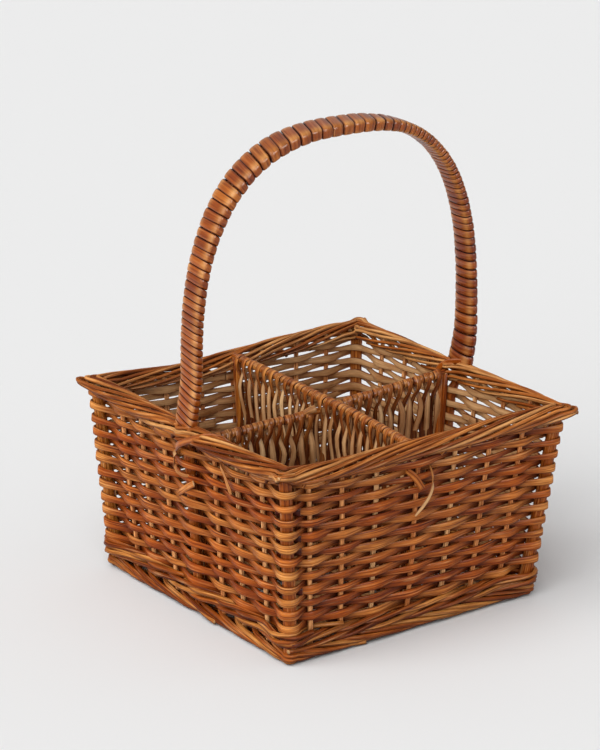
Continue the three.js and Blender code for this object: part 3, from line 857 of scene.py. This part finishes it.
# ties of skein that hold the border to the handle's legs, and the loose ends left beside them
ties = {
    "width": 4.6, "thickness": 1.2, "tones": (0.75, 0.45),
    "left": ((-108, 8, 112), (-113.5, 5, 116), (-117.6, 2, 119.5), (-119.2, -3, 124), (-119, -9, 127.4),
             (-117.6, -16, 130.8), (-114.8, -24, 134.2), (-110.4, -31, 135.6), (-105.2, -36, 133.8),
             (-102.4, -38, 129), (-104, -38, 124)),
    "right": ((107, 13, 122), (103, 10, 128.5), (102.2, 6, 134), (104.2, 1.5, 138), (107.4, -4, 140.2),
              (112, -8, 139.5), (115, -10, 136)),
    "looseWidth": 2.6, "looseThickness": 0.7, "looseTone": 0.9, "loosePale": 0.25, "looseTip": 0.7,
    "loose": (
        ((-112, 2, 121), (-118, 3, 117), (-118, 4.2, 111.5), (-117, 4.8, 106), (-116.5, 2.8, 102.9),
         (-115, -2, 101.5), (-110, -7, 101)),
        ((-110, -41, 123), (-113.5, -45.2, 120.1), (-115.5, -52, 117.3), (-115.5, -55.8, 111.5),
         (-114, -57.8, 104.5)),
        ((7, -111, 117), (5.4, -117, 113.5), (4.9, -119, 109), (3, -120, 101), (-3, -119.8, 92.5),
         (-9, -118.5, 86)),
    ),
    "stubSize": 1.8, "stubTone": 0.8, "stubSeed": 7,
    "stubs": (
        ((-106, 17, 80), (-109, 12, 83.6), (-111.5, 5, 87.5), (-112.6, -3, 92.5), (-113.5, -12.5, 98)),
        ((-12.5, -113, 117), (-9.2, -117.6, 113), (-6.4, -118.8, 108.4), (-4.2, -119.4, 104.4)),
    ),
}


def makeTies():
    lines = [{"at": ties[end], "tone": tone, "seed": seed}
             for end, tone, seed in zip(("left", "right"), ties["tones"], (1, 2))]
    outline = splitOutline(ties["width"], ties["thickness"])
    piece = layStrands("handle_ties", lines, outline, skeinFinish, steps=6, split=True)
    settle(piece, "handle_skein", "handle_tie_left", "handle_tie_right")
    lines = []
    for k, at in enumerate(ties["loose"]):
        lines.append({"at": at, "tone": ties["looseTone"], "seed": k, "pale": [ties["loosePale"]] * len(at),
                      "size": [1] * (len(at) - 1) + [ties["looseTip"]]})
    for k, at in enumerate(ties["stubs"]):
        lines.append({"at": at, "tone": ties["stubTone"], "seed": ties["stubSeed"] + k,
                      "size": [ties["stubSize"]] * len(at)})
    outline = splitOutline(ties["looseWidth"], ties["looseThickness"])
    piece = layStrands("loose_ends", lines, outline, weaverFinish, steps=5, split=True)
    settle(piece, "weaver_willow", "weaver_a1", "weaver_b1")


# dividers: wound rails, and split strands that hang over the top rail and weave through the middle one
dividers = {
    "railRadius": 1.9, "railSides": 10, "railBends": 8, "railSway": 0.9, "railHeave": 1.0,
    "middleHeight": 68, "lowBend": 40, "floor": 14, "nearMiddle": 20, "reach": 105,
    "endRods": (1.2, 4.4), "endBends": (50, 90), "endSizes": (0.9, 1, 1.1, 1), "endSway": 1.6,
    "knob": {"at": ((-17, -0.6, 125), (-12.6, -1.8, 127), (-8.8, -3, 127.8)),
             "size": (0.9, 1.3, 1.4), "tone": 0.9, "pale": (0.1, 0.4, 0.7)},
    "strandWidth": 5.1, "strandThickness": 1.1, "pitch": 8.6, "margin": 4, "jitter": 0.5,
    "wave": 1.9, "bends": 8, "loop": 2.6, "broad": (0.85, 1.1), "uneven": 0.15, "bareUneven": 0.6,
    "crossing": (13, 18),  # how far below the top rail a strand's two legs cross
    # a strand's way up one side of the panel: how far aside and off it, and the height above a level
    "leg": (
        (2.2, 1.2, "floor", 0), (2.2, -0.6, "low", 0), (2.2, -2.6, "middle", 0), (2.2, -0.2, "upper", 0),
        (2.2, 1.5, "cross", -6), (1.76, -0.4, "cross", 3), (0.5, -3.1, "top", -5), (0.2, -2.6, "top", 0),
    ),
    "panels": {
        "long": {"along": Vector((0, 1, 0)), "face": Vector((1, 0, 0)), "ends": (-110, 110),
                 "tops": (128, 133.6), "arch": 2, "bare": 0.82},
        "left": {"along": Vector((1, 0, 0)), "face": Vector((0, -1, 0)), "ends": (-104, -4),
                 "tops": (122, 124), "arch": 0, "bare": 1.05},
        "right": {"along": Vector((1, 0, 0)), "face": Vector((0, -1, 0)), "ends": (4, 104),
                  "tops": (125.5, 133), "arch": 0, "bare": 0.6},
    },
    # along a strand from one foot over the rail to the other: its size, its painted shade and its painted light
    "sizes": (1, 1, 1, 1, 0.95, 0.7, 0.7, 0.88, 0.94, 0.88, 0.7, 0.7, 0.95, 1, 1, 1, 1),
    "shade": [0.7] * 5 + [0.2] + [0] * 5 + [0.2] + [0.7] * 5,
    "paintedLight": [0] * 6 + [0.1, 0.35, 0.4, 0.35, 0.1] + [0] * 6,
    "winding": {
        "from": 3, "until": 3, "inner": 2.0, "broad": 0, "thickness": 1.1, "share": 0.94, "steps": 14,
        "uneven": 0.16, "bumps": 0.25, "grainWidth": 4, "tones": 1.0, "wearAndSheen": 0.2,
        "tone": ((0, 0.75), (1, 0.75)), "square": ((0, 2), (1, 2)), "outSkew": ((0, 0.5), (1, 0.5)),
        "overSkew": ((0, 0), (1, 0)), "swell": ((0, 1), (1, 1)), "pitches": ((0, 4.3), (1, 4.3)),
    },
}


def makeDividers():
    rails, strands, topRails, railNodes, strandNodes = [], [], [], [], []
    middle, floor, jitter = dividers["middleHeight"], dividers["floor"], dividers["jitter"]
    nearMiddle, railBends = dividers["nearMiddle"], dividers["railBends"]
    for name, panel in dividers["panels"].items():
        first, last = panel["ends"]
        along, face = panel["along"], panel["face"]

        def topAt(u):
            share = (u - first) / (last - first)
            slope = (panel["tops"][1] - panel["tops"][0]) * share
            return panel["tops"][0] + slope + panel["arch"] * math.sin(math.pi * share)

        # a place on the panel: its ends lean with the walls
        def spot(u, out, z):
            lean = basket["flare"] * (topAt(u) - z) * abs(u) / dividers["reach"]
            drawn = u if abs(u) < nearMiddle else u - math.copysign(lean, u)
            return along * drawn + face * out + Vector((0, 0, z))

        for label in ("top", "middle"):
            at = []
            for k in range(railBends + 1):
                u = first + (last - first) * k / railBends
                z = topAt(u) if label == "top" else middle
                sway, heave = wobble(dividers["railSway"], k, first), wobble(dividers["railHeave"], first, k)
                at.append(spot(u, sway, z + heave))
            rails.append({"at": at, "tone": chance.random(), "seed": first})
            railNodes.append(f"divider_{name}_{label}_rail")
            if label == "top":
                topRails.append((at, face))
        for end in (first, last):
            for inset in dividers["endRods"] if abs(end) > nearMiddle else ():
                u = end - math.copysign(inset, end)
                heights = (floor, *dividers["endBends"], topAt(u) - 1)
                at = [spot(u, wobble(dividers["endSway"], u, z), z) for z in heights]
                rails.append({"at": at, "size": dividers["endSizes"], "tone": chance.random(), "seed": u})
        room = last - first - 2 * dividers["margin"]
        count = round(room / dividers["pitch"])
        for k in range(count):
            u = first + dividers["margin"] + room * (k + 0.5) / count + chance.uniform(-jitter, jitter)
            top = topAt(u)
            bend = [chance.uniform(-1, 1) * dividers["wave"] for place in range(dividers["bends"])]
            cross = top - chance.uniform(*dividers["crossing"])
            levels = {"floor": floor, "low": dividers["lowBend"], "middle": middle,
                      "upper": (middle + cross) / 2, "cross": cross, "top": top}

            def legPath(side, *order):
                shifts = (0, *[bend[place] for place in order], 0, 0, 0)
                return [(u + side * aside + shift, side * out, levels[level] + rise)
                        for (aside, out, level, rise), shift in zip(dividers["leg"], shifts)]

            path = legPath(-1, 0, 1, 2, 6) + [(u, 0, top + dividers["loop"])] + legPath(1, 5, 4, 3, 7)[::-1]
            broad = chance.uniform(*dividers["broad"])
            size = [broad * share + wobble(dividers["uneven"], j * 0.9, k, first)
                    for j, share in enumerate(dividers["sizes"])]
            # drawn lying down, so that the strand's flat side stays in the panel
            flat = [Vector((p.dot(face), p.z, -p.dot(along))) for p in (spot(*place) for place in path)]
            strands.append({
                "at": flat, "turn": (face, (0, 0, 1), -along), "size": size, "shade": dividers["shade"],
                "lift": dividers["paintedLight"], "tone": chance.random(), "seed": k,
                "bare": panel["bare"] + wobble(dividers["bareUneven"], k * 1.7, first),
            })
        strandNodes.append(f"divider_{name}_strand")
    rails.append(dividers["knob"])
    outline = roundOutline(dividers["railRadius"], dividers["railSides"])
    piece = layStrands("divider_rails", rails, outline, postFinish, steps=3)
    settle(piece, "post_willow", *railNodes)
    outline = splitOutline(dividers["strandWidth"], dividers["strandThickness"])
    piece = layStrands("divider_strands", strands, outline, dividerFinish, steps=3, split=True)
    settle(piece, "divider_skein", *strandNodes)
    piece = windStrips("divider_windings", topRails, dividers["winding"], dividerFinish)
    settle(piece, "divider_skein", *strandNodes)


makePosts()
makeStakes()
makeWeave()
makeWale()
makeTopBorder()
makeFootBorder()
makeFloor()
windHandle(makeBow())
makeTies()
makeDividers()
print("pieces made")

# studio: one pale floor, a wide soft lamp from the left and even light all round
studio = {
    "floorSize": 30, "floorTint": (0.86, 0.86, 0.86, 1), "floorRough": 0.9, "floorGloss": 0.1, "allRound": 0.42,
    "lamps": (
        {"from": (-0.72, -0.2, 0.665), "spread": 1.3, "power": 2.65, "lights": True},
        # only for the lights on the varnish
        {"from": (0.1, -0.88, 0.46), "spread": 0.7, "power": 3.0, "lights": False},
    ),
}


def makeStudio():
    bm = bmesh.new()
    bmesh.ops.create_grid(bm, x_segments=1, y_segments=1, size=studio["floorSize"] / 2)
    mesh = bpy.data.meshes.new("studio_floor")
    bm.to_mesh(mesh)
    bm.free()
    paint = bpy.data.materials.new("paleFloor")
    paint.use_nodes = True
    shader = paint.node_tree.nodes["Principled BSDF"]
    shader.inputs["Base Color"].default_value = studio["floorTint"]
    shader.inputs["Roughness"].default_value = studio["floorRough"]
    shader.inputs["Specular IOR Level"].default_value = studio["floorGloss"]
    linkPiece("studio_floor", mesh, paint)
    world = bpy.data.worlds.new("studioLight")
    scene.world = world
    world.use_nodes = True
    background = world.node_tree.nodes["Background"]
    background.inputs["Color"].default_value = white
    background.inputs["Strength"].default_value = studio["allRound"]
    for spec in studio["lamps"]:
        lampData = bpy.data.lights.new("softLamp", "SUN")
        lampData.energy = spec["power"]
        lampData.angle = spec["spread"]
        lamp = bpy.data.objects.new("softLamp", lampData)
        lamp.rotation_mode = "QUATERNION"
        lamp.rotation_quaternion = Vector(spec["from"]).to_track_quat("Z", "Y")
        lamp.visible_diffuse = spec["lights"]
        scene.collection.objects.link(lamp)


# the camera stands at the picture's viewing angle, for a frame of 600 by 750
shot = {
    "from": (-1397.8, -2005.4, 958.6), "towards": (-13.155, 9.05, 149.47),
    "lens": 182.4, "sensor": 36, "farthest": 100,
}


def makeCamera():
    camData = bpy.data.cameras.new("camera")
    camData.lens = shot["lens"]
    camData.sensor_width = shot["sensor"]
    camData.clip_end = shot["farthest"]
    cam = bpy.data.objects.new("camera", camData)
    cam.location = Vector(shot["from"]) * mm
    cam.rotation_mode = "QUATERNION"
    cam.rotation_quaternion = (Vector(shot["towards"]) - Vector(shot["from"])).to_track_quat("-Z", "Y")
    scene.collection.objects.link(cam)
    scene.camera = cam


makeStudio()
makeCamera()
print("studio made")
